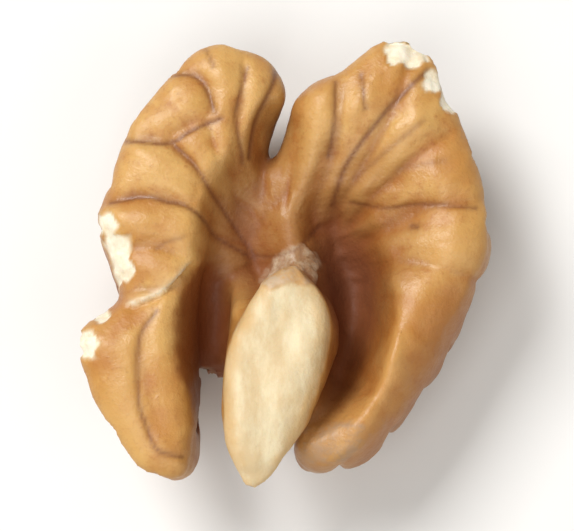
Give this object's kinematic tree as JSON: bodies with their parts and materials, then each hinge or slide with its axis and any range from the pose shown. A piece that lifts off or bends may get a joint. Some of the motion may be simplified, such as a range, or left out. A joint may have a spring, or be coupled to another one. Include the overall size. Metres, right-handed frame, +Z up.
{
  "type": "shelled walnut kernel half",
  "caption": "Half of a shelled walnut kernel lying on its folded round side, with its ribbed inner face, hollow and pale middle tongue facing up.",
  "frame": {"origin": "on the surface that the kernel lies on, below the middle of its box", "axes": "+Z up out of the inner face, +Y towards the blunt notched end, -Y the way the tongue points, +X the wider lobe with the fan of ribs"},
  "size_m": [0.027, 0.0292, 0.0122],
  "materials": {
    "kernel_skin": "thin tan seed skin, satin, with darker veins in the furrows and bare cream flesh where it is broken"
  },
  "bodies": {
    "root": {"walnut_kernel": "kernel_skin"}
  },
  "joints": []
}
